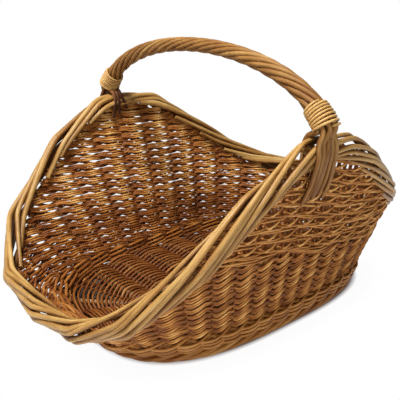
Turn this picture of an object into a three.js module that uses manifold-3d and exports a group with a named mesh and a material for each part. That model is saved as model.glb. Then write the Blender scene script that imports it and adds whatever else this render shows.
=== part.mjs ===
import * as THREE from 'three';
import { mergeVertices } from 'three/addons/utils/BufferGeometryUtils.js';
import Module from 'manifold-3d';

// Wicker log basket. Millimetres, +Z up. The origin is on the floor under the middle of the basket,
// the low scooped lip faces -Y and the roped handle crosses the basket along X.

// Driving dimensions: plan of the rim, on the centreline of its border
const rimHalfWidth = 200;
const rimFrontReach = 252;
const rimBackReach = 313;
const rimFrontPower = 3.05;
const rimBackPower = 2.36;

// Driving dimensions: height of the border's centreline above the floor
const sideHeight = 258;
const lipHeight = 60;
const backHeight = 115;
const lipDropPower = 1.5;

// Driving dimensions: plan of the foot, on the outside of its border
const footHalfWidth = 152;
const footHalfLength = 222;
const footPower = 3;
const footForward = -5;

// Driving dimensions: foot border and the waled rows above it
const footBorderWidth = 14;
const footBorderHeight = 16;
const footBorderSole = 10;
const waleHeight = 11;
const waleThickness = 13;

// Driving dimensions: base sticks and the weave of the floor
const crossStickCount = 6;
const crossStickPitch = 52;
const crossStickDiameter = 12;
const longStickCount = 3;
const longStickDiameter = 7;
const longStickPitch = 8.5;
const longStickFan = 62;
const longStickFanStart = 145;
const stickEndMargin = 8;
const floorUnderside = 7;
const floorThickness = 9.5;
const floorUnderStick = 1.5;
const ridgeDiameter = 18.6;
const floorGapColumns = 10;
const floorGapPitch = 22;
const floorGapWidth = 9;
const floorGapLength = 29;
const ridgeGapPitch = 44;
const ridgeGapWidth = 22;

// Driving dimensions: siding and stakes
const sidingThickness = 11;
const sidingWaist = 4;
const stakeCount = 38;
const stakeSolidCount = 30;
const stakeDiameter = 5;
const stakeSpread = 0.19;
const widestBayShare = 0.68;

// Driving dimensions: rolled border of the rim
const rimRodCount = 5;
const rimRodDiameter = 8;
const rimTwists = 4;
const rimRodEndGap = 5;
const rimScarfSteps = 5;

// Driving dimensions: handle bow, its roping and its lashings
const handleRise = 90;
const handleHalfSpan = 213;
const handleForward = 9;
const handlePower = 2;
const elbowDegrees = 52;
const elbowRoom = 3;
const coreDiameter = 8;
const ropingRodCount = 8;
const ropingRodDiameter = 5;
const ropingTurns = 3.5;
const lashingDiameter = 2.6;
const lashingTurns = 6;
const lashingGap = 1.1;
const footTail = 62;
const tailSweepShares = [-1.03, -0.44, 0.06, 0.31];

// Running clearances between neighbouring pieces
const gap = 0.3;
const rodGap = 0.5;
const borderSeat = 0.8;

// Fineness of the faceting
const ringSteps = 92;
const sidingStepsPerStake = 2;
const rodSides = 5;
const stakeSides = 8;
const crossStickSides = 12;
const ridgeSides = 8;
const longStickSides = 8;
const coreSides = 6;
const bowSteps = 50;
const crownDegrees = [0, 12, 24, 36, 48, 59, 68];
const tailSteps = 5;
const lashingSteps = 16;
const lashingSides = 5;

// Fineness of the reckoning along the curves
const planDivisions = 1600;
const bowDivisions = 800;
const wallTangentShare = 0.002;
const rimTangentShare = 0.004;
const searchRounds = 30;
const weldDistance = 0.0001;

const wasm = await Module();
wasm.setup();

const group = new THREE.Group();

function finish(color, roughness) {
  return new THREE.MeshStandardMaterial({ color, roughness, metalness: 0 });
}

const stakeFinish = finish(0x9c6a36, 0.6);
const stickFinish = finish(0xa87440, 0.6);
const weaveFinish = finish(0xb07a44, 0.65);
const borderFinish = finish(0xc59a5c, 0.5);
const handleFinish = finish(0xb9863f, 0.5);
const lashingFinish = finish(0xd2b27a, 0.5);

function addPiece(name, geometry, material) {
  const mesh = new THREE.Mesh(geometry, material);
  mesh.name = name;
  group.add(mesh);
  return mesh;
}

// Skin over a row of sections with equal numbers of corners, closed into a ring or capped at both ends
function loft(sections, ring) {
  const corners = sections[0].length;
  const positions = sections.flat().flatMap((p) => [p.x, p.y, p.z]);
  const index = [];
  const spans = ring ? sections.length : sections.length - 1;
  for (let i = 0; i < spans; i += 1) {
    const here = i * corners;
    const next = ((i + 1) % sections.length) * corners;
    for (let j = 0; j < corners; j += 1) {
      const k = (j + 1) % corners;
      index.push(here + j, here + k, next + k);
      index.push(here + j, next + k, next + j);
    }
  }
  if (!ring) {
    const last = (sections.length - 1) * corners;
    for (let j = 1; j < corners - 1; j += 1) {
      index.push(0, j + 1, j);
      index.push(last, last + j, last + j + 1);
    }
  }
  const geometry = new THREE.BufferGeometry();
  geometry.setAttribute('position', new THREE.Float32BufferAttribute(positions, 3));
  geometry.setIndex(index);
  return geometry;
}

// Corners of a regular polygon about a centre, in the plane of two unit vectors, turning from one to the other
function polygon(centre, across, up, radius, sides) {
  const corners = [];
  for (let i = 0; i < sides; i += 1) {
    const angle = (2 * Math.PI * i) / sides;
    const corner = centre.clone();
    corner.addScaledVector(across, radius * Math.cos(angle));
    corner.addScaledVector(up, radius * Math.sin(angle));
    corners.push(corner);
  }
  return corners;
}

function toSolid(geometry) {
  const bare = geometry.clone();
  bare.deleteAttribute('normal');
  bare.deleteAttribute('uv');
  const merged = mergeVertices(bare, weldDistance);
  const vertProperties = new Float32Array(merged.attributes.position.array);
  const triVerts = new Uint32Array(merged.index.array);
  return new wasm.Manifold(new wasm.Mesh({ numProp: 3, vertProperties, triVerts }));
}

function toGeometry(solid) {
  const mesh = solid.getMesh();
  const geometry = new THREE.BufferGeometry();
  geometry.setAttribute('position', new THREE.BufferAttribute(mesh.vertProperties, 3));
  geometry.setIndex(new THREE.BufferAttribute(mesh.triVerts, 1));
  return geometry;
}

// Round bar between two points
function bar(from, to, diameter, sides) {
  const axis = to.clone().sub(from);
  const geometry = new THREE.CylinderGeometry(diameter / 2, diameter / 2, axis.length(), sides);
  const turn = new THREE.Quaternion();
  turn.setFromUnitVectors(new THREE.Vector3(0, 1, 0), axis.clone().normalize());
  geometry.applyQuaternion(turn);
  const middle = from.clone().add(to).multiplyScalar(0.5);
  geometry.translate(middle.x, middle.y, middle.z);
  return geometry;
}

// Plan outline of two half superellipses that meet at the widest section, from the front round by +X
class PlanOutline extends THREE.Curve {
  constructor(halfWidth, front, back, frontPower, backPower, widestY) {
    super();
    Object.assign(this, { halfWidth, front, back, frontPower, backPower, widestY });
    this.arcLengthDivisions = planDivisions;
  }

  getPoint(t, target = new THREE.Vector3()) {
    const angle = 2 * Math.PI * t - Math.PI / 2;
    const c = Math.cos(angle);
    const s = Math.sin(angle);
    const reach = s < 0 ? this.front : this.back;
    const power = 2 / (s < 0 ? this.frontPower : this.backPower);
    const x = this.halfWidth * Math.sign(c) * Math.abs(c) ** power;
    const y = this.widestY + reach * Math.sign(s) * Math.abs(s) ** power;
    return target.set(x, y, 0);
  }
}

// The rim is as long before the origin as behind it
const rimWidestY = (rimFrontReach - rimBackReach) / 2;
const handleY = rimWidestY - handleForward;
const rimPlan = new PlanOutline(
  rimHalfWidth,
  rimFrontReach,
  rimBackReach,
  rimFrontPower,
  rimBackPower,
  rimWidestY,
);

function footPlan(inset) {
  const halfWidth = footHalfWidth - inset;
  const halfLength = footHalfLength - inset;
  return new PlanOutline(halfWidth, halfLength, halfLength, footPower, footPower, footForward);
}

function borderHeight(y) {
  const along = (y - rimWidestY) / (y < rimWidestY ? rimFrontReach : rimBackReach);
  if (along < 0) return sideHeight - (sideHeight - lipHeight) * Math.abs(along) ** lipDropPower;
  return sideHeight - ((sideHeight - backHeight) * (1 - Math.cos(Math.PI * along))) / 2;
}

const rimRodOffset = (rimRodDiameter + rodGap) / 2 / Math.sin(Math.PI / rimRodCount);
const rimBorderRadius = rimRodOffset + rimRodDiameter / 2;

// Middle of the wall: straight lines from the foot border's centreline up to the rim border's
const wallPlan = footPlan(footBorderWidth / 2);
const wallBottom = footBorderHeight + gap;

function wallFoot(share) {
  return wallPlan.getPointAt(share % 1).setZ(wallBottom);
}

function rimCentre(share) {
  const p = rimPlan.getPointAt(share % 1);
  return p.setZ(borderHeight(p.y));
}

// Direction up the wall, direction round the rim and the direction out of the wall, at a share of the way round
function wallFrame(share) {
  const foot = wallFoot(share);
  const rim = rimCentre(share);
  const up = rim.clone().sub(foot).normalize();
  const ahead = wallFoot(share + wallTangentShare);
  const behind = wallFoot(share + 1 - wallTangentShare);
  const along = ahead.sub(behind).normalize();
  const out = along.clone().cross(up).normalize();
  const rimAhead = rimCentre(share + wallTangentShare);
  const rimBehind = rimCentre(share + 1 - wallTangentShare);
  const rimAlong = rimAhead.sub(rimBehind).normalize();
  const lean = rimAlong.dot(up);
  return { foot, rim, up, out, lean };
}

// Share of the way round of a stake, by its number. The bays are widest at the left of the back.
function stakeShare(number) {
  const even = number / stakeCount;
  const turn = 2 * Math.PI * (even - widestBayShare);
  const start = 2 * Math.PI * widestBayShare;
  return even + (stakeSpread * (Math.sin(turn) + Math.sin(start))) / (2 * Math.PI);
}

// How far below the border's centreline, along a stake, a piece of a stated width clears the border
function belowBorder(frame, width) {
  const square = Math.sqrt(1 - frame.lean ** 2);
  return (rimBorderRadius + borderSeat + (width / 2) * Math.abs(frame.lean)) / square;
}

// A point on a stake's line at a height, moved out of the wall's middle by an offset
function wallPoint(frame, height, offset) {
  const rise = (height - frame.foot.z) / frame.up.z;
  return frame.foot.clone().addScaledVector(frame.up, rise).addScaledVector(frame.out, offset);
}

const sidingBottom = wallBottom + waleHeight + gap;
const floorTop = floorUnderside + floorThickness;

// Base sticks: thick cross sticks, each pierced in the middle, and thin long sticks threaded through them
const stickHeight = floorUnderside + floorUnderStick + crossStickDiameter / 2;
const floorInset = footBorderWidth + gap;
const slotWidth = (longStickCount - 1) * longStickPitch + longStickDiameter + 2 * rodGap;
const slotHeight = longStickDiameter + 2 * gap;

function halfWidthAt(y, inset) {
  const halfLength = footHalfLength - inset;
  const share = Math.min(1, Math.abs(y - footForward) / halfLength);
  return (footHalfWidth - inset) * (1 - share ** footPower) ** (1 / footPower);
}

const crossSticks = [];
for (let i = 0; i < crossStickCount; i += 1) {
  const y = footForward + (i - (crossStickCount - 1) / 2) * crossStickPitch;
  const reach = halfWidthAt(y, floorInset + stickEndMargin);
  const ends = [new THREE.Vector3(-reach, y, stickHeight), new THREE.Vector3(reach, y, stickHeight)];
  const slot = new THREE.BoxGeometry(slotWidth, 2 * crossStickDiameter, slotHeight);
  slot.translate(0, y, stickHeight);
  const stick = toSolid(bar(ends[0], ends[1], crossStickDiameter, crossStickSides)).subtract(toSolid(slot));
  crossSticks.push({ ends, solid: stick });
  addPiece(`base_cross_stick_${i + 1}`, toGeometry(stick), stickFinish);
}

function longStickPoints(i) {
  const side = i - (longStickCount - 1) / 2;
  const narrow = side * longStickPitch;
  const wide = side * longStickFan;
  const reach = footHalfLength - floorInset - stickEndMargin;
  const endY = reach * (1 - (Math.abs(wide) / (footHalfWidth - floorInset)) ** footPower) ** (1 / footPower);
  return [
    new THREE.Vector3(wide, footForward - endY, stickHeight),
    new THREE.Vector3(narrow, footForward - longStickFanStart, stickHeight),
    new THREE.Vector3(narrow, footForward + longStickFanStart, stickHeight),
    new THREE.Vector3(wide, footForward + endY, stickHeight),
  ];
}

// Rod of a stated diameter through a few points, its sections square across the length of the base
function flatRod(points, diameter) {
  const across = new THREE.Vector3(1, 0, 0);
  const up = new THREE.Vector3(0, 0, 1);
  return loft(
    points.map((p) => polygon(p, up, across, diameter / 2, longStickSides)),
    false,
  );
}

for (let i = 0; i < longStickCount; i += 1) {
  const points = longStickPoints(i);
  addPiece(`base_long_stick_${i + 1}`, flatRod(points, longStickDiameter), stickFinish);
}

// Floor weave: one mat inside the foot border, with a ridge over and under each cross stick that it is
// woven round, grooved from above for the long sticks, with gaps between the rounds of the weave
function mat(plan, low, high, steps) {
  const sections = [];
  for (let i = 0; i < steps; i += 1) sections.push(plan.getPointAt(i / steps));
  const shape = new THREE.Shape(sections.map((p) => new THREE.Vector2(p.x, p.y)));
  const geometry = new THREE.ExtrudeGeometry(shape, { depth: high - low, bevelEnabled: false });
  geometry.translate(0, 0, low);
  return geometry;
}

function ridgeEnds(y) {
  const inset = floorInset + stickEndMargin / 2;
  const reach = Math.min(halfWidthAt(y - ridgeDiameter / 2, inset), halfWidthAt(y + ridgeDiameter / 2, inset));
  return [new THREE.Vector3(-reach, y, stickHeight), new THREE.Vector3(reach, y, stickHeight)];
}

// Box through the floor, or its upper half alone, about a place
function floorBox(x, y, width, length, low) {
  const high = stickHeight + ridgeDiameter;
  const box = new THREE.BoxGeometry(width, length, high - low);
  box.translate(x, y, (low + high) / 2);
  return toSolid(box);
}

let floorWeave = toSolid(mat(footPlan(floorInset), floorUnderside, floorTop, ringSteps));
for (const { ends } of crossSticks) {
  const [from, to] = ridgeEnds(ends[0].y);
  floorWeave = floorWeave.add(toSolid(bar(from, to, ridgeDiameter, ridgeSides)));
}
for (const { ends } of crossSticks) {
  const tip = new THREE.Vector3(2 * gap, 0, 0);
  const seat = bar(ends[0].clone().sub(tip), ends[1].clone().add(tip), crossStickDiameter + 2 * gap, crossStickSides);
  floorWeave = floorWeave.subtract(toSolid(seat));
}
for (let i = 0; i < longStickCount; i += 1) {
  const points = longStickPoints(i);
  points[0].addScaledVector(points[0].clone().sub(points[1]).normalize(), 2 * gap);
  points[3].addScaledVector(points[3].clone().sub(points[2]).normalize(), 2 * gap);
  const seat = flatRod(points, longStickDiameter + 4 * gap);
  const crest = seat.clone().translate(0, 0, longStickDiameter / 2);
  floorWeave = floorWeave.subtract(toSolid(seat)).subtract(toSolid(crest));
}

// Place across the base of the outermost long stick, at a place along it
function fanLine(y) {
  const [end, start] = longStickPoints(longStickCount - 1);
  const share = (Math.abs(y - footForward) - longStickFanStart) / (start.y - end.y);
  return THREE.MathUtils.lerp(start.x, end.x, THREE.MathUtils.clamp(share, 0, 1));
}

// A gap is cut where its end that is nearer the border clears the long sticks and the edge of the mat
function gapFits(x, end) {
  const inner = Math.abs(x) - floorGapWidth / 2;
  const outer = Math.abs(x) + floorGapWidth / 2;
  return inner > fanLine(end) + longStickDiameter && outer < halfWidthAt(end, floorInset) - floorGapWidth / 2;
}

for (let bay = 0; bay <= crossStickCount; bay += 1) {
  const y = footForward + (bay - crossStickCount / 2) * crossStickPitch;
  const end = y + (Math.sign(y - footForward) * floorGapLength) / 2;
  for (let column = 0; column < floorGapColumns; column += 1) {
    const x = (column - (floorGapColumns - 1) / 2) * floorGapPitch;
    const cut = floorBox(x, y, floorGapWidth, floorGapLength, 0);
    if (gapFits(x, end)) floorWeave = floorWeave.subtract(cut);
  }
}

// The weave passes over one cross stick where it passes under the next, so the sticks show by turns
crossSticks.forEach(({ ends }, row) => {
  const reach = ends[1].x - ridgeGapWidth;
  for (let x = (row % 2) * (ridgeGapPitch / 2); x < reach; x += ridgeGapPitch) {
    for (const side of x > 0 ? [-1, 1] : [1]) {
      const cut = floorBox(side * x, ends[0].y, ridgeGapWidth, ridgeDiameter + 2 * gap, stickHeight);
      floorWeave = floorWeave.subtract(cut);
    }
  }
});
addPiece('floor_weave', toGeometry(floorWeave), weaveFinish);

// Foot border: the rolled edge that the basket stands on, flat underneath
function footBorderSection(share) {
  const p = wallPlan.getPointAt(share);
  const frame = wallFrame(share);
  const out = frame.out.clone().setZ(0).normalize();
  const half = footBorderWidth / 2;
  const sole = footBorderSole / 2;
  const bevel = half - sole;
  const profile = [
    [sole, 0],
    [-sole, 0],
    [-half, bevel],
    [-half, footBorderHeight - bevel],
    [-sole, footBorderHeight],
    [sole, footBorderHeight],
    [half, footBorderHeight - bevel],
    [half, bevel],
  ];
  return profile.map(([offset, z]) => p.clone().addScaledVector(out, offset).setZ(z));
}

function ringOf(sectionAt) {
  const sections = [];
  for (let i = 0; i < ringSteps; i += 1) sections.push(sectionAt(i / ringSteps));
  return loft(sections, true);
}

addPiece('foot_border', ringOf(footBorderSection), borderFinish);

// Stakes: straight rods up the inner face of the wall, from the floor to the rim border. Those that
// aren't solids of their own are joined to the siding.
const stakeOffset = -sidingThickness / 2;

function stakeEnds(share, low, reach) {
  const frame = wallFrame(share);
  const from = wallPoint(frame, low, stakeOffset);
  const drop = belowBorder(frame, stakeDiameter) - reach;
  const to = frame.rim.clone().addScaledVector(frame.up, -drop).addScaledVector(frame.out, stakeOffset);
  return [from, to];
}

const stakeBottom = wallBottom + stakeDiameter / 2;
const stakeGrooves = [];
const joinedStakes = [];
for (let i = 0; i < stakeCount; i += 1) {
  const share = stakeShare(i);
  const before = Math.floor((i * stakeSolidCount) / stakeCount);
  const after = Math.floor(((i + 1) * stakeSolidCount) / stakeCount);
  if (after > before) {
    const [from, to] = stakeEnds(share, stakeBottom, 0);
    const number = String(after).padStart(2, '0');
    addPiece(`side_stake_${number}`, bar(from, to, stakeDiameter, stakeSides), stakeFinish);
    const [low, high] = stakeEnds(share, stakeBottom - stakeDiameter, 2 * stakeDiameter);
    stakeGrooves.push(toSolid(bar(low, high, stakeDiameter + 2 * gap, stakeSides)));
  } else {
    const [from, to] = stakeEnds(share, sidingBottom + stakeDiameter / 2, 0);
    joinedStakes.push(toSolid(bar(from, to, stakeDiameter, stakeSides)));
  }
}

function grooved(solid) {
  return toGeometry(stakeGrooves.reduce((rest, groove) => rest.subtract(groove), solid));
}

// Upsett: the waled rows that bind the stakes just above the foot border
function waleSection(share) {
  const frame = wallFrame(share);
  const half = waleThickness / 2;
  const level = frame.out.clone().setZ(0);
  const bottom = wallPoint(frame, wallBottom, 0);
  const top = wallPoint(frame, wallBottom + waleHeight, 0);
  return [
    bottom.clone().addScaledVector(level, half),
    bottom.clone().addScaledVector(level, -half),
    top.clone().addScaledVector(level, -half),
    top.clone().addScaledVector(level, half),
  ];
}

addPiece('upsett_wale', grooved(toSolid(ringOf(waleSection))), borderFinish);

// Siding: the woven wall from the upsett to the underside of the rim border. Its weavers bulge round
// each stake and cross over between two stakes, where the wall is thinnest.
function sidingSection(step) {
  const frame = wallFrame(stakeShare(step / sidingStepsPerStake));
  const half = (step % sidingStepsPerStake === 0 ? sidingThickness : sidingWaist) / 2;
  const level = frame.out.clone().setZ(0);
  const bottom = wallPoint(frame, sidingBottom, 0);
  const top = frame.rim.clone().addScaledVector(frame.up, -belowBorder(frame, 0));
  return [
    bottom.clone().addScaledVector(level, half),
    bottom.clone().addScaledVector(level, -half),
    top.clone().addScaledVector(frame.out, -half),
    top.clone().addScaledVector(frame.out, half),
  ];
}

const sidingSections = [];
for (let step = 0; step < sidingStepsPerStake * stakeCount; step += 1) sidingSections.push(sidingSection(step));
const wovenWall = joinedStakes.reduce((wall, stake) => wall.add(stake), toSolid(loft(sidingSections, true)));
addPiece('siding_weave', grooved(wovenWall), weaveFinish);

// Rim border: long rods rolled round each other all the way round the mouth, their ends meeting at the back
function rimFrame(share) {
  const centre = rimCentre(share);
  const ahead = rimCentre(share + rimTangentShare);
  const behind = rimCentre(share + 1 - rimTangentShare);
  const along = ahead.sub(behind).normalize();
  const up = new THREE.Vector3(0, 0, 1).addScaledVector(along, -along.z).normalize();
  const out = along.clone().cross(up);
  return { centre, up, out };
}

const rimLength = rimPlan.getLength();

for (let rod = 0; rod < rimRodCount; rod += 1) {
  const start = 0.5 + ((rod - (rimRodCount - 1) / 2) * rimScarfSteps) / ringSteps;
  const travel = 1 - rimRodEndGap / rimLength;
  const sections = [];
  for (let i = 0; i <= ringSteps; i += 1) {
    const share = start + Math.min(i / ringSteps, travel);
    const { centre, up, out } = rimFrame(share);
    const angle = 2 * Math.PI * (rod / rimRodCount + rimTwists * share);
    centre.addScaledVector(out, rimRodOffset * Math.cos(angle));
    centre.addScaledVector(up, rimRodOffset * Math.sin(angle));
    sections.push(polygon(centre, up, out, rimRodDiameter / 2, rodSides));
  }
  addPiece(`rim_border_rod_${rod + 1}`, loft(sections, false), borderFinish);
}

// Handle: a bow over the basket whose feet pass outside the rim border and lie on the siding
const ropingOffset = (ropingRodDiameter + rodGap) / 2 / Math.sin(Math.PI / ropingRodCount);
const bowFootOffset = sidingThickness / 2 + gap + coreDiameter / 2;
const bowShoulder = rimBorderRadius + gap + coreDiameter / 2;

const sideways = new THREE.Vector3(0, 1, 0);

// Share of the way round at which the right side of the rim passes a place along the basket
function nearestShare(y) {
  let low = 0.1;
  let high = 0.4;
  for (let i = 0; i < searchRounds; i += 1) {
    const middle = (low + high) / 2;
    if (rimPlan.getPointAt(middle).y < y) low = middle;
    else high = middle;
  }
  return low;
}

const handleShare = nearestShare(handleY);
const footFrame = wallFrame(handleShare);

// Half of the bow, in X and Z, from its crown to the end of its foot
function bowFootPoint(distance) {
  const start = footFrame.rim.clone().addScaledVector(footFrame.out, bowShoulder);
  const end = footFrame.rim.clone().addScaledVector(footFrame.up, -footTail);
  end.addScaledVector(footFrame.out, bowFootOffset);
  return start.lerp(end, distance);
}

const crownArc = crownDegrees.map((degrees) => {
  const angle = THREE.MathUtils.degToRad(90 - degrees);
  const x = handleHalfSpan * Math.cos(angle) ** (2 / handlePower);
  const z = footFrame.rim.z + handleRise * Math.sin(angle) ** (2 / handlePower);
  return new THREE.Vector3(x, handleY, z);
});
const shoulder = bowFootPoint(0).setY(handleY);
const elbowAngle = THREE.MathUtils.degToRad(elbowDegrees);
const elbow = footFrame.rim.clone().setY(handleY);
elbow.x += (bowShoulder + elbowRoom) * Math.cos(elbowAngle);
elbow.z += (bowShoulder + elbowRoom) * Math.sin(elbowAngle);
const footMiddle = bowFootPoint(0.5).setY(handleY);
const footEnd = bowFootPoint(1).setY(handleY);
const halfBow = [...crownArc, elbow, shoulder, footMiddle, footEnd];
const leftHalf = halfBow
  .slice(1)
  .reverse()
  .map((p) => new THREE.Vector3(-p.x, p.y, p.z));
const bow = new THREE.CatmullRomCurve3([...leftHalf, ...halfBow]);
bow.arcLengthDivisions = bowDivisions;
const bowLength = bow.getLength();

// Share of the bow's length at which a height on its right half is passed
function bowShareAtHeight(z) {
  let low = 0.5;
  let high = 1;
  for (let i = 0; i < searchRounds; i += 1) {
    const middle = (low + high) / 2;
    if (bow.getPointAt(middle).z > z) low = middle;
    else high = middle;
  }
  return low;
}

const lashingOffset = ropingOffset + ropingRodDiameter / 2 + gap + lashingDiameter / 2;
const lashingPitch = lashingDiameter + lashingGap;
const lashingLength = lashingTurns * lashingPitch;
const lashingFootZ = footFrame.rim.z + rimBorderRadius + lashingOffset + lashingDiameter / 2;
const ropingEnd = bowShareAtHeight(lashingFootZ);
const ropingSpan = 2 * ropingEnd - 1;
const shoulderShare = bowShareAtHeight(shoulder.z);

function bowFrame(share) {
  const centre = bow.getPointAt(share);
  const along = bow.getTangentAt(share);
  const across = new THREE.Vector3(0, 1, 0);
  const out = across.clone().cross(along).negate().normalize();
  return { centre, along, out, across };
}

const coreSections = [];
for (let i = 0; i <= bowSteps; i += 1) {
  const { centre, out, across } = bowFrame(i / bowSteps);
  coreSections.push(polygon(centre, across, out, coreDiameter / 2, coreSides));
}
addPiece('handle_core', loft(coreSections, false), handleFinish);

// Each roping rod starts on the siding below one foot, winds round the core and ends under the far lashing
function ropingPoint(rod, share) {
  const { centre, out, across } = bowFrame(share);
  const wound = ropingTurns * (share - 0.5) / ropingSpan;
  const angle = 2 * Math.PI * ((rod + 0.5) / ropingRodCount + wound);
  centre.addScaledVector(out, ropingOffset * Math.cos(angle));
  centre.addScaledVector(across, ropingOffset * Math.sin(angle));
  return { centre, out, across, angle };
}

// Where a tail lies: beside the bow's foot at the rim border, then swept along the siding
const tailRadius = ropingRodDiameter / 2;

function tailBeside(order) {
  const side = order < 2 ? -1 : 1;
  const nearest = (coreDiameter + ropingRodDiameter) / 2 + rodGap;
  const outermost = order === 0 || order === 3;
  return side * (nearest + (outermost ? ropingRodDiameter + rodGap : 0));
}

function tailSection(order, travel) {
  const sweep = travel * travel;
  const y = handleY + tailBeside(order) * (1 - sweep) + tailSweepShares[order] * footTail * sweep;
  const frame = wallFrame(nearestShare(y));
  const start = frame.rim.clone().addScaledVector(frame.out, rimBorderRadius + gap + tailRadius);
  const end = frame.rim.clone().addScaledVector(frame.up, -footTail);
  end.addScaledVector(frame.out, sidingThickness / 2 + gap + tailRadius);
  return polygon(start.lerp(end, travel), sideways, frame.out, tailRadius, rodSides);
}

// From the round bundle under the lashing to the flat row of tails on the border
function spreadSection(order, angle, travel) {
  const { centre, out, across } = bowFrame(ropingEnd + (shoulderShare - ropingEnd) * travel);
  const away = travel * travel;
  const aside = 1 - (1 - travel) ** 2;
  const seat = tailRadius - coreDiameter / 2;
  centre.addScaledVector(out, ropingOffset * Math.cos(angle) * (1 - away) + seat * away);
  centre.addScaledVector(across, ropingOffset * Math.sin(angle) * (1 - aside) + tailBeside(order) * aside);
  return polygon(centre, across, out, tailRadius, rodSides);
}

function tailSections(angle) {
  const turned = THREE.MathUtils.euclideanModulo(angle + Math.PI / 2, 2 * Math.PI);
  const order = Math.round((turned * tailSweepShares.length) / Math.PI - 0.5);
  const sections = [];
  for (let i = 1; i <= tailSteps; i += 1) sections.push(spreadSection(order, angle, i / tailSteps));
  for (let i = 1; i <= tailSteps; i += 1) sections.push(tailSection(order, i / tailSteps));
  return sections;
}

function mirrorSections(sections) {
  return sections.map((corners) => corners.map((p) => new THREE.Vector3(-p.x, p.y, p.z))).reverse();
}

for (let rod = 0; rod < ropingRodCount; rod += 1) {
  const sections = [];
  for (let i = 0; i <= bowSteps; i += 1) {
    const share = 1 - ropingEnd + (ropingSpan * i) / bowSteps;
    const { centre, out, across } = ropingPoint(rod, share);
    sections.push(polygon(centre, across, out, tailRadius, rodSides));
  }
  const rightAngle = ropingPoint(rod, ropingEnd).angle;
  const leftAngle = ropingPoint(rod, 1 - ropingEnd).angle;
  if (Math.cos(rightAngle) > 0) sections.push(...tailSections(rightAngle));
  else sections.unshift(...mirrorSections(tailSections(leftAngle)));
  addPiece(`handle_roping_rod_${rod + 1}`, loft(sections, false), handleFinish);
}

// Lashings: one split rod wound in a close coil over the roping just above each foot
const lashingPoints = [];
const lashingSections = [];
const lashingCount = lashingTurns * lashingSteps;
for (let i = -1; i <= lashingCount + 1; i += 1) {
  const step = THREE.MathUtils.clamp(i, 0, lashingCount);
  const share = ropingEnd - (lashingLength * step) / lashingCount / bowLength;
  const { centre, along, out, across } = bowFrame(share);
  const angle = (2 * Math.PI * step) / lashingSteps;
  const radial = out.clone().multiplyScalar(Math.cos(angle)).addScaledVector(across, Math.sin(angle));
  const travel = across.clone().multiplyScalar(Math.cos(angle)).addScaledVector(out, -Math.sin(angle));
  centre.addScaledVector(radial, lashingOffset).addScaledVector(travel, (i - step) * lashingDiameter);
  lashingPoints.push(centre);
  lashingSections.push(polygon(centre, radial, along, lashingDiameter / 2, lashingSides));
}

// Least gap between turns of a winding, from points at least half a turn apart
function leastSelfGap(points, apart, diameter) {
  let least = Infinity;
  points.forEach((p, i) => {
    for (let j = i + apart; j < points.length; j += 1) least = Math.min(least, p.distanceTo(points[j]));
  });
  return least - diameter;
}

console.log('least gap between the lashing turns, mm:');
console.log(leastSelfGap(lashingPoints, lashingSteps / 2, lashingDiameter).toFixed(2));
addPiece('handle_lashing_right', loft(lashingSections, false), lashingFinish);
addPiece('handle_lashing_left', loft(mirrorSections(lashingSections), false), lashingFinish);

export default group;
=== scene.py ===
import math

import bpy
import numpy as np
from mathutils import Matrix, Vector


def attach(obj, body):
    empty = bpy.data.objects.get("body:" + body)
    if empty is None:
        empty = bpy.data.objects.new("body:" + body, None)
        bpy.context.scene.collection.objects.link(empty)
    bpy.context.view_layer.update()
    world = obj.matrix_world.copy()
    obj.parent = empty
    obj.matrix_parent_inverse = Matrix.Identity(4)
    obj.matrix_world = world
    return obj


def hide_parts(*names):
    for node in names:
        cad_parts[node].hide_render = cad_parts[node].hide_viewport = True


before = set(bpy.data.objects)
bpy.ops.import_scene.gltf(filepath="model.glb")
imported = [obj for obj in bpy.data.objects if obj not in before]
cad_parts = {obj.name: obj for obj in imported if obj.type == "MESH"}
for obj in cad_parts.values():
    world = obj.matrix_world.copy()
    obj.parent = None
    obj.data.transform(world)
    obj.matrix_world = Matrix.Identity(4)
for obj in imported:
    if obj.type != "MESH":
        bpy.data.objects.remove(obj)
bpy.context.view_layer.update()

# Base sticks
# Six thick willow sticks lie across the base. Each is slit in the middle, and three thin sticks are
# threaded through the slits along the basket and spread at both ends.
millimetre = 0.001
foot_half_width = 152
foot_half_length = 222
foot_power = 3.0
foot_middle = -5
cross_stick_count = 6
cross_stick_pitch = 52
cross_stick_radius = 6
long_stick_radius = 3.5
long_stick_pitch = 8.5
long_stick_spread = 62
spread_start = 145
stick_level = 14.5
stick_margin = 22.3
fan_end_room = 8
end_chamfer = 0.7
grain_across = 0.9
grain_along = 0.02
grain_shifts = (37.0, 91.0)


class Wire:
    """A socket of a material's node tree. Arithmetic on it adds the Math nodes that it takes."""

    def __init__(self, tree, socket=None):
        self.tree = tree
        self.socket = socket

    def node(self, kind, settings=None, sockets=None, output=0):
        made = self.tree.nodes.new(kind)
        for setting, value in (settings or {}).items():
            if setting == "stops":
                ramp = made.color_ramp.elements
                while len(ramp) < len(value):
                    ramp.new(0.5)
                for stop, (place, colour) in zip(ramp, value):
                    stop.position = place
                    stop.color = (*colour, 1)
            else:
                setattr(made, setting, value)
        for socket, value in (sockets or {}).items():
            if isinstance(value, Wire):
                self.tree.links.new(value.socket, made.inputs[socket])
            else:
                made.inputs[socket].default_value = value
        return Wire(self.tree, made.outputs[output])

    def math(self, operation, first, second):
        return self.node("ShaderNodeMath", {"operation": operation}, {0: first, 1: second})

    def __add__(self, other):
        return self.math("ADD", self, other)

    def __mul__(self, other):
        return self.math("MULTIPLY", self, other)

    def __pow__(self, other):
        return self.math("POWER", self, other)

    def __sub__(self, other):
        return self.math("SUBTRACT", self, other)

    def __rsub__(self, other):
        return self.math("SUBTRACT", other, self)

    __radd__ = __add__
    __rmul__ = __mul__


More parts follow.
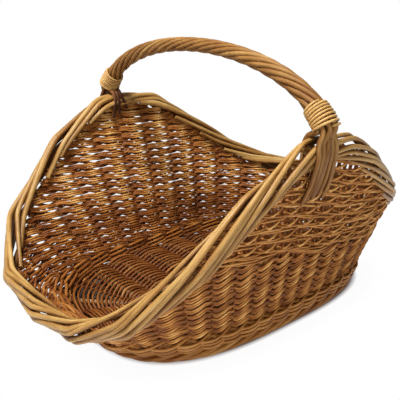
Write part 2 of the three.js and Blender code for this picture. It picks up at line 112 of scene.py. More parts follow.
def willow(name, colours, roughness, streak_share=0.35, relief=0.00025):
    """Peeled willow: rods of differing tone with fine streaks along them, from dark to pale colours."""
    material = bpy.data.materials.new(name)
    material.use_nodes = True
    tree = material.node_tree
    wire = Wire(tree)
    # The tone read here is each rod's own tone together with the light and shade painted onto its sides.
    tone = wire.node("ShaderNodeAttribute", {"attribute_name": "tone"}, output=2)
    grain = wire.node("ShaderNodeAttribute", {"attribute_name": "grain"}, output=1)
    place = wire.node("ShaderNodeTexCoord", output=3)
    streaks = wire.node("ShaderNodeTexNoise", None, {"Vector": grain, "Scale": 2.2, "Detail": 4.0})
    blotches = wire.node("ShaderNodeTexNoise", None, {"Vector": place, "Scale": 38.0, "Detail": 2.0})
    shade = tone * (1 - streak_share) + (streaks - 0.5) * (2.2 * streak_share) + (blotches - 0.5) * 0.45
    shade = shade + 0.5 * streak_share
    stops = [(i / (len(colours) - 1), colour) for i, colour in enumerate(colours)]
    colour = wire.node("ShaderNodeValToRGB", {"stops": stops}, {"Fac": shade})
    surface = tree.nodes["Principled BSDF"]
    tree.links.new(colour.socket, surface.inputs["Base Color"])
    rough = roughness + (streaks - 0.5) * 0.25
    tree.links.new(rough.socket, surface.inputs["Roughness"])
    bump = wire.node("ShaderNodeBump", None, {"Height": streaks, "Distance": relief, "Strength": 0.6})
    tree.links.new(bump.socket, surface.inputs["Normal"])
    surface.inputs["Specular IOR Level"].default_value = 0.28
    return material


def unit(vectors):
    return vectors / np.linalg.norm(vectors, axis=-1)[..., None]


def rods_piece(name, rods, sides, beside, finish, nodes):
    """One piece of round rods: points in millimetres, radii, tones, and the direction in which light is
    painted on each rod, lighter on that side and darker on the other.
    """
    corners, faces, tones_and_shading, grains = [], [], [], []
    start = 0
    turn = np.linspace(0, 2 * math.pi, sides, endpoint=False)
    for points, radii, tone, painted_light_side in rods:
        points = np.asarray(points, float)
        count = len(points)
        radii = np.broadcast_to(radii, count)[:, None, None]
        tone = np.broadcast_to(tone, count)
        ahead = unit(np.gradient(points, axis=0))
        side = unit(np.cross(ahead, beside))
        up = np.cross(side, ahead)
        ring = side[:, None] * np.cos(turn)[None, :, None] + up[:, None] * np.sin(turn)[None, :, None]
        corners.append((points[:, None] + radii * ring).reshape(-1, 3))
        reach = np.concatenate(([0.0], np.cumsum(np.linalg.norm(np.diff(points, axis=0), axis=1))))
        grain = np.empty((count, sides, 3))
        grain[..., 0] = np.cos(turn) * grain_across
        grain[..., 1] = np.sin(turn) * grain_across + grain_shifts[0] * tone[0]
        grain[..., 2] = reach[:, None] * grain_along + grain_shifts[1] * tone[0]
        grains.append(grain.reshape(-1, 3))
        # Painted light and shade: each corner's tone rises on the side of the rod that is painted lit and
        # falls on the side turned away.
        tones_and_shading.append((tone[:, None] + (ring * np.reshape(painted_light_side, (-1, 1, 3))).sum(axis=-1)).ravel())
        index = start + np.arange(count * sides).reshape(count, sides)
        here, there = index[:-1], index[1:]
        quads = np.stack((here, there, np.roll(there, -1, axis=1), np.roll(here, -1, axis=1)), axis=-1)
        faces.extend(quads.reshape(-1, 4).tolist())
        faces.append(index[0].tolist())
        faces.append(index[-1][::-1].tolist())
        start += count * sides
    mesh = bpy.data.meshes.new(name)
    mesh.from_pydata((np.concatenate(corners) * millimetre).tolist(), [], faces)
    mesh.attributes.new("tone", "FLOAT", "POINT").data.foreach_set("value", np.concatenate(tones_and_shading))
    grain = mesh.attributes.new("grain", "FLOAT_VECTOR", "POINT")
    grain.data.foreach_set("vector", np.concatenate(grains).ravel())
    mesh.materials.append(finish)
    mesh.shade_smooth()
    mesh.set_sharp_from_angle(angle=math.radians(75))
    piece = bpy.data.objects.new(name, mesh)
    bpy.context.scene.collection.objects.link(piece)
    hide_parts(*nodes)
    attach(piece, "root")


def wander(chance, reach, swing, wavelength):
    """A slow random sway along a rod, in two directions."""
    phases = chance.uniform(0, 2 * math.pi, (2, 2))
    sway = [np.sin(2 * math.pi * reach / wavelength + phases[i, 0]) for i in (0, 1)]
    sway = [sway[i] + 0.5 * np.sin(5.2 * math.pi * reach / wavelength + phases[i, 1]) for i in (0, 1)]
    return swing * sway[0], swing * sway[1]


def cross_stick_y(number):
    return foot_middle + (number - (cross_stick_count - 1) / 2) * cross_stick_pitch


def half_width_at(y):
    """Half the length of a cross stick, by its place along the basket."""
    share = min(1, abs(y - foot_middle) / (foot_half_length - stick_margin))
    return (foot_half_width - stick_margin) * (1 - share**foot_power) ** (1 / foot_power)


stick_colours = [(0.13, 0.055, 0.02), (0.30, 0.15, 0.055), (0.47, 0.27, 0.11)]
stick_finish = willow("peeled_stick", stick_colours, 0.55)
chance = np.random.default_rng(11)
for i in range(cross_stick_count):
    y = cross_stick_y(i)
    reach = half_width_at(y)
    x = np.linspace(-reach, reach, 40)
    sway_y, sway_z = wander(chance, x, 0.5, 160)
    points = np.stack((x, y + sway_y, stick_level + 0.4 * sway_z), axis=-1)
    radii = cross_stick_radius * (1 - 0.03 * np.sin(x / 17 + i)) - end_chamfer * (np.abs(x) > reach - 1)
    rod = (points, radii, chance.uniform(0.3, 0.7), (0, 0, 0))
    name = f"cross_stick_{i + 1}"
    rods_piece(name, [rod], 16, (0, 0, 1), stick_finish, [f"base_{name}"])

spread_reach = foot_half_length - stick_margin


def long_stick_line(side):
    """The corners of a long stick's line, on one side of the middle, along it or on the other side."""
    wide = side * long_stick_spread
    share = abs(wide) / (foot_half_width - stick_margin + fan_end_room)
    end = spread_reach * (1 - share**foot_power) ** (1 / foot_power)
    xs = [wide, side * long_stick_pitch, side * long_stick_pitch, wide]
    ys = [foot_middle - end, foot_middle - spread_start, foot_middle + spread_start, foot_middle + end]
    return xs, ys


for i in range(3):
    xs, ys = long_stick_line(i - 1)
    y = np.linspace(ys[0], ys[-1], 60)
    x = np.interp(y, ys, xs)
    sway_x, sway_z = wander(chance, y, 0.4, 140)
    points = np.stack((x + sway_x, y, stick_level + 0.4 * sway_z), axis=-1)
    rod = (points, long_stick_radius, chance.uniform(0.3, 0.8), (0, 0, 0))
    name = f"long_stick_{i + 1}"
    rods_piece(name, [rod], 12, (0, 0, 1), stick_finish, [f"base_{name}"])

# Floor weave
# Fine rods woven in pairs round and round the base sticks. In each round one rod passes over a stick
# while the other passes under it, and they change places before the next stick.
floor_rounds = 15
floor_rod_radius = 1.85
inner_half_width = 17
inner_half_length = 142
inner_power = 2.3
outer_half_width = 134.5
outer_half_length = 205
outer_power = 3.1
strand_flatness = 0.75
fan_crossed_from = 2.7 * cross_stick_pitch
round_point_gap = 3.5
round_start = 0.37


def oval(half_width, front, back, front_power, back_power, widest_y):
    """Points of an oval and the share of its length at each, from the front round by +X."""
    turn = np.linspace(-0.5 * math.pi, 1.5 * math.pi, 4001)
    across, along = np.cos(turn), np.sin(turn)
    power = 2 / np.where(along < 0, front_power, back_power)
    x = half_width * np.sign(across) * np.abs(across) ** power
    y = widest_y + np.where(along < 0, front, back) * np.sign(along) * np.abs(along) ** power
    length = np.concatenate(([0.0], np.cumsum(np.hypot(np.diff(x), np.diff(y)))))
    return length / length[-1], x, y, length[-1]


def on_oval(shape, share):
    share = np.mod(share, 1.0)
    return np.stack((np.interp(share, shape[0], shape[1]), np.interp(share, shape[0], shape[2])), axis=-1)


def stick_crossings(shape):
    """Shares at which a round of the floor weave crosses the base sticks, and each stick's radius."""
    share = np.linspace(0, 1, 2401)
    x, y = on_oval(shape, share).T
    found = []
    for i in range(cross_stick_count):
        for at in np.nonzero(np.diff(np.sign(y - cross_stick_y(i))))[0]:
            found.append((share[at], cross_stick_radius))
    for side in (-1, 0, 1):
        xs, ys = long_stick_line(side)
        for at in np.nonzero(np.diff(np.sign(x - np.interp(y, ys, xs))))[0]:
            if abs(y[at] - foot_middle) > fan_crossed_from:
                found.append((share[at], long_stick_radius))
    return sorted(found)


floor_colours = [(0.043, 0.008, 0.001), (0.15, 0.04, 0.006), (0.285, 0.1, 0.02), (0.47, 0.23, 0.075)]
floor_finish = willow("floor_willow", floor_colours, 0.5)
chance = np.random.default_rng(12)
floor_rods = []
for i in range(floor_rounds):
    outward = i / (floor_rounds - 1)
    half_width = inner_half_width + (outer_half_width - inner_half_width) * outward
    half_length = inner_half_length + (outer_half_length - inner_half_length) * outward
    power = inner_power + (outer_power - inner_power) * outward
    shape = oval(half_width, half_length, half_length, power, power, foot_middle)
    crossings = np.array(stick_crossings(shape))
    count = len(crossings)
    marks, thick = np.concatenate((crossings[-1:] - (1, 0), crossings, crossings[:1] + (1, 0))).T
    share = np.linspace(0, 1, int(shape[3] / round_point_gap)) + round_start
    folded = np.mod(share, 1.0)
    step = np.interp(folded, marks, np.arange(-1, count + 1)) + np.floor(share) * count
    stick = np.interp(folded, marks, thick)
    middle = on_oval(shape, share)
    ahead = unit(np.gradient(middle, axis=0))
    out = np.stack((ahead[:, 1], -ahead[:, 0]), axis=-1)
    for strand in (0, 1):
        wave = np.cos(math.pi * (step + strand))
        lift = np.sign(wave) * np.abs(wave) ** strand_flatness * (stick + floor_rod_radius)
        aside = floor_rod_radius * 1.1 * np.sin(math.pi * (step + strand))
        sway = wander(chance, folded * shape[3], 0.35, 90)
        flat = middle + out * (aside + sway[0])[:, None]
        points = np.column_stack((flat, stick_level + lift + 0.5 * sway[1]))
        radii = floor_rod_radius * chance.uniform(0.88, 1.08)
        # Painted shade: the outer rounds near the wall are made darker, and each rod is painted lighter on
        # top where it rises over a stick and darker where it dips under one.
        tone = np.clip(chance.normal(0.4, 0.16) - 0.16 * max(0, outward - 0.55), 0.08, 0.9)
        floor_rods.append((points, radii, tone, np.outer(wave, (0, 0, 0.3))))
rods_piece("floor_weavers", floor_rods, 6, (0, 0, 1), floor_finish, ["floor_weave"])

# Side stakes
# Thirty-eight willow rods stand in the edge of the base, lean outwards and carry the wall. They are
# farthest apart at the left of the back, and their tops are bent over into the rim border. Thirty are
# solids of their own, and the solid of the siding holds the other eight.
stake_count = 38
stake_solids = 30
stake_spread = 0.19
widest_bay = 0.68
stake_radius = 2.6
stake_taper = 0.12
stake_length = 240
stake_butt = 8
stake_top_room = 10
rim_half_width = 200
rim_front = 252
rim_back = 313
rim_front_power = 3.05
rim_back_power = 2.36
rim_widest = (rim_front - rim_back) / 2
rim_shape = oval(rim_half_width, rim_front, rim_back, rim_front_power, rim_back_power, rim_widest)
side_height = 258
lip_height = 60
lip_power = 1.5
back_height = 115
wall_foot_inset = 7
wall_foot_level = 16.3
foot_sight = 0.002
wall_foot_shape = oval(
    foot_half_width - wall_foot_inset,
    foot_half_length - wall_foot_inset,
    foot_half_length - wall_foot_inset,
    foot_power,
    foot_power,
    foot_middle,
)


def stake_share(number):
    """Share of the way round of a stake, by its number."""
    even = np.asarray(number) / stake_count
    turn = 2 * math.pi * (even - widest_bay)
    return even + stake_spread * (np.sin(turn) + math.sin(2 * math.pi * widest_bay)) / (2 * math.pi)


def border_level(y):
    along = (y - rim_widest) / np.where(y < rim_widest, rim_front, rim_back)
    front = side_height - (side_height - lip_height) * np.abs(along) ** lip_power
    back = side_height - (side_height - back_height) * (1 - np.cos(math.pi * along)) / 2
    return np.where(along < 0, front, back)


def rim_line(share):
    """The middle of the rim border, at shares of the way round."""
    flat = on_oval(rim_shape, share)
    return np.column_stack((flat, border_level(flat[:, 1])))


def along_foot(share):
    return on_oval(wall_foot_shape, share + foot_sight) - on_oval(wall_foot_shape, share - foot_sight)


def wall_lines(share):
    """For shares of the way round: foot, rim, and the directions up the wall and out of it."""
    share = np.atleast_1d(share)
    level = np.full(len(share), float(wall_foot_level))
    foot = np.column_stack((on_oval(wall_foot_shape, share), level))
    rim = rim_line(share)
    up = unit(rim - foot)
    ahead = np.column_stack((along_foot(share), np.zeros(len(share))))
    out = unit(np.cross(ahead, up))
    return foot, rim, up, out


def wall_point(share, level, offset):
    """Points of the wall at levels, moved out of it by an offset."""
    foot, rim, up, out = wall_lines(share)
    rise = (level - foot[:, 2]) / up[:, 2]
    return foot + up * rise[:, None] + out * np.broadcast_to(offset, len(rise))[:, None]


stake_colours = [(0.12, 0.035, 0.009), (0.30, 0.115, 0.03), (0.46, 0.22, 0.065), (0.62, 0.36, 0.13)]
stake_finish = willow("stake_willow", stake_colours, 0.5)
chance = np.random.default_rng(13)
for i in range(stake_count):
    foot, rim, up, out = (value[0] for value in wall_lines(stake_share(i)))
    reach = np.linspace(-stake_butt, np.linalg.norm(rim - foot) - stake_top_room, 40)
    along = np.cross(up, out)
    sway = wander(chance, reach, 0.7, 170)
    points = foot + up * reach[:, None] + along * sway[0][:, None] + out * 0.4 * sway[1][:, None]
    radii = stake_radius * (1 - stake_taper * (reach - reach[0]) / stake_length)
    solids_before = i * stake_solids // stake_count
    solids_after = (i + 1) * stake_solids // stake_count
    own = solids_after > solids_before
    node = f"side_stake_{solids_after:02d}" if own else "siding_weave"
    # Painted shade: the stakes get a low tone because they stand in shade behind the weavers, and their outer
    # side is painted darker still.
    rod = (points, radii, np.clip(chance.normal(0.16, 0.08), 0.04, 0.5), -0.14 * out)
    rods_piece(f"stake_{i + 1:02d}", [rod], 8, along, stake_finish, [node])

# Upsett
# Three waled rows bind the stakes just above the foot. Each row is three rods, and each rod in turn
# passes in front of two stakes and behind the next one.
wale_rows = 3
wale_pitch = 6.0
wale_rod_radius = 2.1
wale_first_level = 19
wale_depth = 6.4
wale_begin = 0.3
foot_bay = 26


def outwards(share):
    return wall_lines(share)[3]


weave_colours = [(0.066, 0.013, 0.002), (0.265, 0.083, 0.013), (0.515, 0.218, 0.047), (0.85, 0.51, 0.17)]
wale_finish = willow("wale_willow", weave_colours, 0.45)
chance = np.random.default_rng(14)
wale_rods = []
for row in range(wale_rows):
    for strand in range(3):
        step = np.linspace(0, stake_count, stake_count * 8) + wale_begin
        phase = np.mod(step + 0.5 - strand, 3)
        depth = wale_depth * (np.cos(2 * math.pi * (phase - 1) / 3) + 0.2)
        rise = np.where(phase < 2, phase - 1, 1 - 2 * (phase - 2))
        level = wale_first_level + row * wale_pitch + wale_rod_radius * rise
        sway = wander(chance, step * foot_bay, 0.3, 110)
        points = wall_point(stake_share(step), level + sway[0], depth + sway[1])
        # Painted light: each wale rod is lighter on its outer side, the more so where it lies out in front.
        painted_light_side = outwards(stake_share(step)) * (0.28 + depth / 60)[:, None]
        radii = wale_rod_radius * chance.uniform(0.92, 1.08)
        tone = np.clip(chance.normal(0.32, 0.13), 0.05, 0.9)
        wale_rods.append((points, radii, tone, painted_light_side))
rods_piece("wale_rods", wale_rods, 7, (0, 0, 1), wale_finish, ["upsett_wale"])

# Foot border
# The butts of the stakes' fellow rods are rolled round each other under the wall, one from each
# stake, and their cut ends lie inside. The basket stands on them.
foot_roll_radius = 4.3
foot_rod_radius = 3.0
foot_roll_level = 7.5
foot_rod_steps = 4.4
foot_roll_begin = -0.9 * math.pi
foot_roll_turn = 1.85 * math.pi
foot_rod_taper = 0.12
chance = np.random.default_rng(15)
foot_rods = []
for i in range(stake_count):
    step = np.linspace(0, foot_rod_steps, 30)
    turn = foot_roll_begin + foot_roll_turn * step / foot_rod_steps
    share = stake_share(i + step)
    flat = on_oval(wall_foot_shape, share)
    ahead = along_foot(share)
    out = unit(np.stack((ahead[:, 1], -ahead[:, 0]), axis=-1))
    swell = foot_roll_radius + chance.uniform(-0.3, 0.5)
    level = np.maximum(foot_roll_level + swell * np.sin(turn), foot_rod_radius + 0.05)
    points = np.column_stack((flat + out * (swell * np.cos(turn))[:, None], level))
    radii = foot_rod_radius * (1 - foot_rod_taper * step / foot_rod_steps)
    # Painted light and shade: each rod is lighter on the side facing away from the middle of the roll and
    # darker towards it.
    painted_light_side = 0.3 * np.column_stack((out * np.cos(turn)[:, None], np.sin(turn)))
    tone = np.clip(chance.normal(0.36, 0.15), 0.1, 0.9)
    foot_rods.append((points, radii, tone, painted_light_side))
rods_piece("foot_border_rods", foot_rods, 8, (0, 0, 1), wale_finish, ["foot_border"])

# Siding
# Three thin rods start together behind each stake. They pass steeply up in front of one stake and sink
# a little behind the next, over and over. High on the right they end below the open rows.
siding_start = 37.5
right_pitch = 9.4
left_pitch = 11.3
lap_count = 20
weaver_pitch_share = 0.165
weaver_thinning = 0.024
thickest_weaver = 1.8
weaver_depth = 3.8
weaver_drop = 2.3
climb_bays = 0.52
sink_bays = 0.54
bunched = 0.48
crossed = 0.35
border_room = 8
wall_bay = 30
shortest_run = 9


def ease(value):
    value = np.clip(value, 0, 1)
    return value * value * (3 - 2 * value)


def fade(distance, width):
    """One where the distance is nothing, and less and less away from there."""
    return np.exp(-((distance / width) ** 2))


def round_from_front(share):
    return np.mod(np.asarray(share) + 0.5, 1.0) - 0.5


def row_level(lap, share):
    """Level of a row's middle, by its number. The rows are closest at the right."""
    around = round_from_front(share)
    right = ease((around + 0.1) / 0.16) * (1 - ease((around - 0.3) / 0.18))
    return siding_start + lap * (left_pitch + (right_pitch - left_pitch) * right)


def opening_level(share):
    """Level at which the open rows begin. On the left it lies above the rim."""
    places = [-0.06, -0.03, 0.05, 0.12, 0.2, 0.28, 0.36, 0.43, 0.46]
    return np.interp(round_from_front(share), places, [400, 190, 178, 158, 133, 110, 99, 96, 400])


def runs(inside):
    """The stretches of a rod that lie inside a part of the wall, without the shortest."""
    edges = np.nonzero(np.diff(np.concatenate(([False], inside, [False])).astype(int)))[0]
    stretches = [slice(first, last) for first, last in zip(edges[::2], edges[1::2])]
    return [run for run in stretches if run.stop - run.start >= shortest_run]


def tucked_in(depth, inwards=5.5):
    """Depths along a rod, with its two ends drawn to the inside of the wall."""
    place = np.arange(len(depth))
    tucked = fade(place, 2.2) + fade(len(depth) - 1 - place, 2.2)
    return depth * (1 - tucked) - inwards * tucked


siding_finish = willow("siding_willow", weave_colours, 0.6)
chance = np.random.default_rng(16)
siding_rods = [[], [], []]
for i in range(stake_count):
    step = np.arange(-1.5, 2 * lap_count - 3, 1 / 8)
    lap = np.floor((step + 1) / 2)
    front = step - 2 * lap
    share = stake_share(i + step)
    climb = np.clip(front / climb_bays + 0.5, 0, 1)
    drop = -np.sign(front) * np.cos(math.pi * np.clip((np.abs(front) - 0.5) / sink_bays, -0.5, 0.5))
    below, above = row_level(lap, share), row_level(lap + 1, share)
    level = below * (1 - climb) + above * climb + weaver_drop * drop
    turn = np.cos(math.pi * (front - 0.1))
    side = np.sign(turn) * np.abs(turn) ** 0.7
    height = level - siding_start
    thick = (above - below) * (weaver_pitch_share - weaver_thinning * ease((height - 10) / 60))
    thick = np.minimum(thick, thickest_weaver)
    bunch = bunched * fade(front, 0.27)
    crossing = crossed * fade(np.abs(front) - 0.5, 0.13)
    # Painted highlight: the strokes in front of the stakes are made paler, and the rods between them darker.
    painted_highlight = fade(np.mod(front + 0.5, 1.0) - 0.5, 0.21)
    # Painted shade: low on the left of the wall the rods are made darker, and high up there a little paler.
    left = 0.5 + 0.5 * np.cos(2 * math.pi * (share - 0.72))
    painted_light_and_shade = left * (0.08 - 0.26 * (1 - ease(height / 100))) + 0.34 * (painted_highlight - 0.6)
    # Painted light: each rod is lighter on its open face, most of all on the strokes; on the inside this
    # fades away towards the foot.
    painted_shading = (0.12 + 0.46 * painted_highlight) * side * np.where(side < 0, ease((height - 8) / 70), 1)
    painted_light_side = outwards(share) * painted_shading[:, None]
    top = np.minimum(rim_line(share)[:, 2] - border_room, opening_level(share) - 1)
    for run in runs(level < top):
        # Each run's tone is its own random tone plus the painted light and shade above.
        run_tone_and_shading = chance.normal(0.33, 0.1) + painted_light_and_shade[run]
        for rod in (-1, 0, 1):
            sway = wander(chance, step[run] * wall_bay, 0.4, 95)
            apart = 1.95 * thick[run] * (1 - bunch[run] - crossing[run])
            proud = (1.9 - 2 * abs(rod)) * 1.6 * bunch[run] + rod * 3.2 * crossing[run]
            depth = tucked_in(weaver_depth * side[run] + proud + 0.6 * sway[1])
            points = wall_point(share[run], level[run] + rod * apart + sway[0], depth)
            radii = thick[run] * chance.uniform(0.86, 1.12)
            tone = np.clip(run_tone_and_shading + chance.normal(0, 0.13), 0.02, 0.9)
            siding_rods[i % 3].append((points, radii, tone, painted_light_side[run]))
for i in range(3):
    name = f"siding_weavers_{i + 1}"
    rods_piece(name, siding_rods[i], 7, (0, 0, 1), siding_finish, ["siding_weave"])

# Open rows
# Bands of three thin rods run round the right of the wall and lie apart. Short steep strands pass from
# band to band over the stakes, thin upright rods in the darkest tone stand between the stakes behind the
# gaps as painted shade, and two more rods bind the foot of the rows.
open_rod_radius = 1.32
open_band_count = 11
open_bay_count = 19
open_border_room = 2
highest_opening = 200
full_pitch = 14
strand_reach = 0.38
strand_rods_apart = 1.2
binding_pitch = 2.5
upright_radius = 2.2
upright_depth = -2.8
upright_foot = 14
shortest_upright = 20


def band_pitch(share):
    """How far apart the bands lie. They are closer towards the back."""
    return np.interp(round_from_front(share), [0.05, 0.22, 0.33, 0.43], [15.5, 15.5, 12.8, 10.5])


open_rods = []
for band in range(open_band_count):
    for rod in (-1, 0, 1):
        step = np.arange(-1.5, open_bay_count, 1 / 10)
        share = stake_share(step)
        squeeze = np.minimum(band_pitch(share) / full_pitch, 1)
        sway = wander(chance, step * wall_bay, 0.4, 90)
        begin = opening_level(share)
        level = begin + band * band_pitch(share) + 1.8 * open_rod_radius * squeeze * rod + sway[0]
        behind = fade(np.mod(step + rod + band + 1.5, 3) - 1.5, 0.42)
        depth = 3.4 - 7.2 * behind + 0.6 * sway[1]
        top = rim_line(share)[:, 2] - open_border_room
        inside = (level < top) & (begin < highest_opening) & (level > siding_start)
        for run in runs(inside):
            points = wall_point(share[run], level[run], tucked_in(depth[run]))
            radii = open_rod_radius * squeeze[run] * chance.uniform(0.86, 1.12)
            tone = np.clip(chance.normal(0.34, 0.12), 0.05, 0.9)
            # Painted light: the band rods are lighter on their outer side.
            open_rods.append((points, radii, tone, 0.44 * outwards(share[run])))
for i in range(-1, open_bay_count):
    for band in range(open_band_count - 1):
        across = np.linspace(-strand_reach, strand_reach, 20)
        share = stake_share(i + across)
        begin = opening_level(share)
        level = begin + (band + 0.5 + across / (2 * strand_reach)) * band_pitch(share)
        if begin.max() > highest_opening or (level - rim_line(share)[:, 2]).max() > -open_border_room:
            continue
        tone = np.clip(chance.normal(0.5, 0.1), 0.05, 0.9)
        for rod in (-1, 1):
            depth = (5.2 + 0.7 * rod) * np.cos(math.pi * across / 0.8) ** 0.4 - 0.8
            points = wall_point(share, level + strand_rods_apart * rod, tucked_in(depth, 4.5))
            # Painted light: the strands are lighter on their outer side.
            open_rods.append((points, open_rod_radius * 0.95, tone, 0.5 * outwards(share)))
for i in range(3 * stake_count // 2):
    share = stake_share((i + 0.5) / 3 + chance.uniform(-0.05, 0.05))
    low = float(opening_level(share)) - upright_foot
    high = float(rim_line([share])[0, 2]) - border_room
    if high - low < shortest_upright or low > highest_opening:
        continue
    points = wall_point(np.full(20, share), np.linspace(low, high, 20), upright_depth)
    # Painted shade: the upright rods take the darkest tone, so that the gaps behind the bands show shade.
    open_rods.append((points, upright_radius, chance.uniform(0.0, 0.1), (0, 0, 0)))
for rod in range(2):
    step = np.arange(1.5, 16, 1 / 8)
    share = stake_share(step)
    sway = wander(chance, step * wall_bay, 0.4, 100)
    depth = 2.2 + 3.4 * np.cos(2 * math.pi * (step + 0.4 * rod) / 4)
    level = np.minimum(opening_level(share), rim_line(share)[:, 2] - border_room)
    level = level + binding_pitch * (rod - 3) + sway[0]
    points = wall_point(share, level, tucked_in(depth) + sway[1])
    # Painted light: the binding rods are lighter on their outer side, the more so where they lie out in
    # front.
    painted_light_side = outwards(share) * (0.1 + 0.06 * depth)[:, None]
    tone = np.clip(chance.normal(0.36, 0.12), 0.1, 0.9)
    open_rods.append((points, open_rod_radius, tone, painted_light_side))
rods_piece("siding_open_rows", open_rods, 7, (0, 0, 1), siding_finish, ["siding_weave"])

# Rim border
# Each stake's top is bent down over the outside of the rim, runs along over its neighbours, crosses
# the top and ends inside. The rods are bent sharply at some stakes and lie straight between them.
border_rod_radius = 3.0
left_swell = 1.35
border_rod_points = 110
section_steps = [-0.5, 0.2, 1.1, 2.3, 3.5, 4.6, 5.6, 6.6, 7.6]
section_places = [(1, -21), (8, -17), (10.5, -9), (9.5, -1), (5, 6)]
section_places += [(-1.5, 8.5), (-7, 4.5), (-9, -2.5), (-8, -9)]
bend_play = 0.35
bend_shift = 1.5
bend_pull = 0.4
front_bend_pull = 0.35
front_bend_bays = 6
left_spread = 0.16
rear_closing = 0.2


def flow(knots, values, at):
    """A smooth curve through values at knots."""
    knots = np.asarray(knots, float)
    values = np.asarray(values, float)
    slopes = np.gradient(values, knots, axis=0)
    span = np.clip(np.searchsorted(knots, at, side="right") - 1, 0, len(knots) - 2)
    width = (knots[span + 1] - knots[span])[:, None]
    t = ((at - knots[span])[:, None]) / width
    return (
        values[span] * (1 + 2 * t) * (1 - t) ** 2
        + slopes[span] * width * t * (1 - t) ** 2
        + values[span + 1] * t * t * (3 - 2 * t)
        + slopes[span + 1] * width * t * t * (t - 1)
    )


def rim_axes(share):
    """The line of the rim, and the directions out of the wall and up it, square to that line."""
    foot, rim, up, out = wall_lines(share)
    along = unit(rim_line(share + 0.004) - rim_line(share - 0.004))
    up = unit(np.cross(out, along))
    return rim, unit(np.cross(along, up)), up


def beside_rim(numbers, places):
    """Points out of the wall and above the rim, at stake numbers along it."""
    rim, out, up = rim_axes(stake_share(numbers))
    return rim + out * places[:, :1] + up * places[:, 1:]


def rounded_off(points):
    """The points of a line with its sharp bends eased, each a mean of five neighbours."""
    padded = np.pad(points, ((2, 2), (0, 0)), mode="reflect", reflect_type="odd")
    return sum(padded[i : i + len(points)] for i in range(5)) / 5


border_colours = [(0.11, 0.036, 0.007), (0.27, 0.122, 0.028), (0.435, 0.245, 0.07), (0.61, 0.4, 0.15)]
border_finish = willow("border_willow", border_colours, 0.4)
chance = np.random.default_rng(17)
bends = np.arange(-4, 2 * stake_count, 2)
bends = bends + chance.uniform(-bend_play, bend_play, len(bends))
border_rods = [[] for _ in range(5)]
for i in range(stake_count):
    longer = chance.uniform(0.85, 1.15)
    step = np.linspace(section_steps[0], section_steps[-1] * longer, border_rod_points)
    number = i + step
    curved = beside_rim(number, flow(section_steps, section_places, step / longer))
    own_bends = bends[(bends > number[0] + 0.3) & (bends < number[-1] - 0.3)]
    at = np.concatenate((number[:1], own_bends, number[-1:]))
    shift = chance.normal(0, bend_shift, (2, len(at)))
    corners = beside_rim(at, flow(section_steps, section_places, (at - i) / longer) + shift.T)
    straight = np.column_stack([np.interp(number, at, corners[:, axis]) for axis in range(3)])
    from_front = np.mod(number, stake_count)
    from_front = np.minimum(from_front, stake_count - from_front)
    bent = bend_pull + front_bend_pull * fade(from_front, front_bend_bays)
    share = stake_share(number)
    left = 0.5 + 0.5 * np.cos(2 * math.pi * (share - 0.75))
    rear = fade(share - 0.37, 0.09)
    rim, out, up = rim_axes(share)
    points = curved + (straight - curved) * bent[:, None]
    points = rounded_off(rim + (points - rim) * (1 + left_spread * left - rear_closing * rear)[:, None])
    along = (step - step[0]) / (step[-1] - step[0])
    radii = border_rod_radius + left_swell * left + chance.uniform(-0.4, 0.4)
    radii = radii * (0.9 + 0.2 * np.sin(math.pi * along**0.7)) - 0.6 * along
    tone = np.clip(chance.normal(0.25, 0.18), 0.02, 0.7)
    # Painted light: each border rod is lighter on the side facing out of the roll and up, and darker below.
    border_rods[i % 5].append((points, radii, tone, 0.55 * unit(points - rim + 3 * up)))
for i in range(5):
    name = f"border_rods_{i + 1}"
    rods_piece(name, border_rods[i], 9, (0, 0, 1), border_finish, [f"rim_border_rod_{i + 1}"])

# Handle core
# A stout willow rod bent into a bow. It stands astride the rim at its widest, and its feet are
# pushed down beside the stakes.
handle_y = rim_widest - 9
handle_rise = 90
handle_half_span = 213
core_radius = 4
crown_turns = (0, 12, 24, 36, 48, 59, 68)
bow_foot_places = [(12.5, 15), (15, -2), (6, -32), (-3, -62)]
right_shares = np.linspace(0.1, 0.4, 601)
handle_share = float(np.interp(handle_y, on_oval(rim_shape, right_shares)[:, 1], right_shares))
rim_reach = float(rim_line([handle_share])[0, 0])
crown = [math.radians(90 - turn) for turn in crown_turns]
half_bow = [(handle_half_span * math.cos(turn), side_height + handle_rise * math.sin(turn)) for turn in crown]
half_bow += [(rim_reach + away, side_height + rise) for away, rise in bow_foot_places]
whole_bow = np.array([(-x, z) for x, z in half_bow[:0:-1]] + half_bow)
bow_knots = np.concatenate(([0.0], np.cumsum(np.hypot(*np.diff(whole_bow, axis=0).T))))
bow_length = bow_knots[-1]


def bow_axes(reach):
    """Centre of the bow at a reach along it, its direction, and outwards from the basket."""
    flat = flow(bow_knots, whole_bow, reach)
    step = unit(flow(bow_knots, whole_bow, reach + 1) - flow(bow_knots, whole_bow, reach - 1))
    nothing = np.zeros(len(reach))
    centre = np.column_stack((flat[:, 0], np.full(len(reach), handle_y), flat[:, 1]))
    along = np.column_stack((step[:, 0], nothing, step[:, 1]))
    out = np.column_stack((-step[:, 1], nothing, step[:, 0]))
    return centre, along, out


handle_colours = [(0.045, 0.011, 0.002), (0.18, 0.066, 0.012), (0.295, 0.14, 0.032), (0.45, 0.275, 0.09)]
handle_finish = willow("handle_willow", handle_colours, 0.55)
chance = np.random.default_rng(18)
reach = np.linspace(2, bow_length - 2, 160)
centre, along, out = bow_axes(reach)
rod = (centre, core_radius, 0.3, (0, 0, 0))
rods_piece("bow_core", [rod], 10, (0, 1, 0), handle_finish, ["handle_core"])

